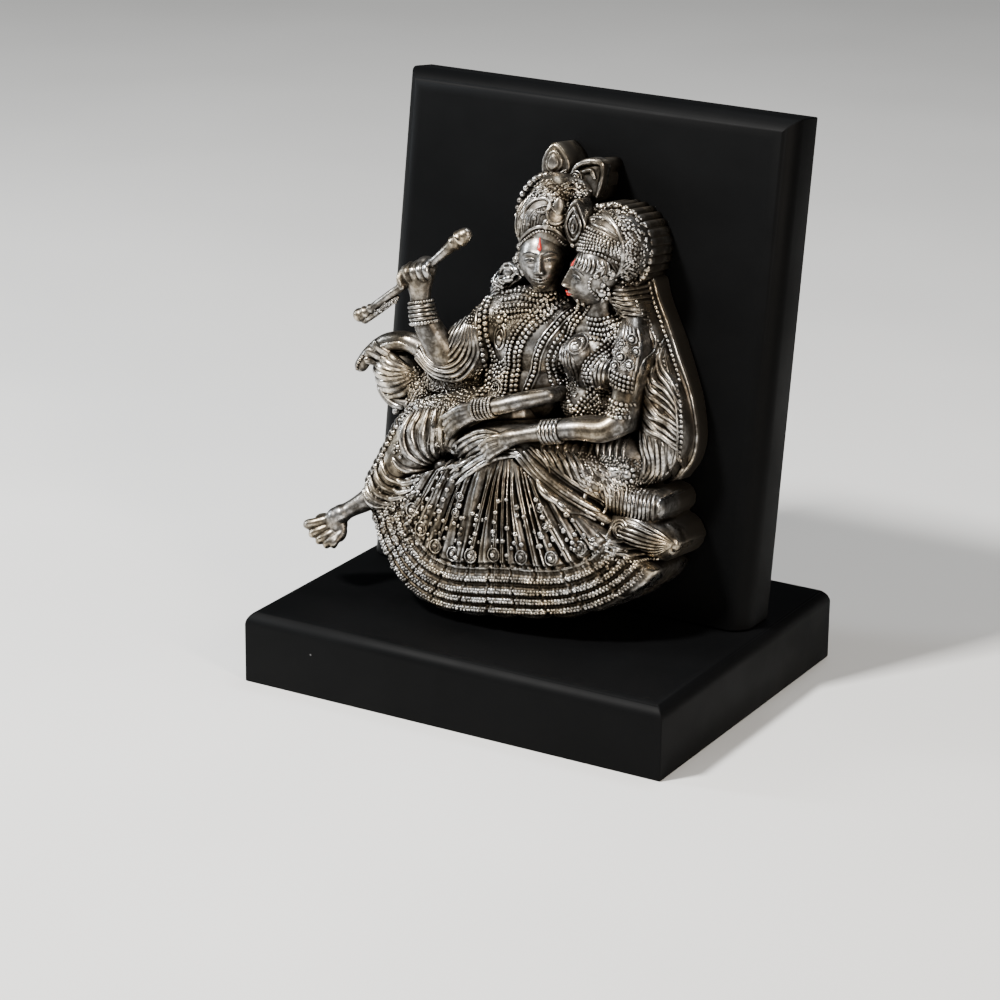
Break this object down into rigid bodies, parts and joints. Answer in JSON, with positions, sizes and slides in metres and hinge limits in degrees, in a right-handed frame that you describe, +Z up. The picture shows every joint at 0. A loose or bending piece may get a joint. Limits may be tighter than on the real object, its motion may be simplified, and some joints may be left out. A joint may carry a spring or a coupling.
{
  "type": "radha krishna statue",
  "caption": "Cast relief of Radha and Krishna seated together with a raised flute, on a leaning black panel and a slab base.",
  "frame": {"origin": "centre of the base's underside", "axes": "+Z up, -Y towards the viewer in front of the figures, +X to the viewer's right"},
  "size_m": [0.125, 0.098, 0.1529],
  "materials": {
    "black_wood": "satin black paint",
    "antique_silver": "silver plate over a casting, blackened in its recesses"
  },
  "bodies": {
    "root": {"base": "black_wood", "back_panel": "black_wood", "figure_group": "antique_silver"}
  },
  "joints": []
}
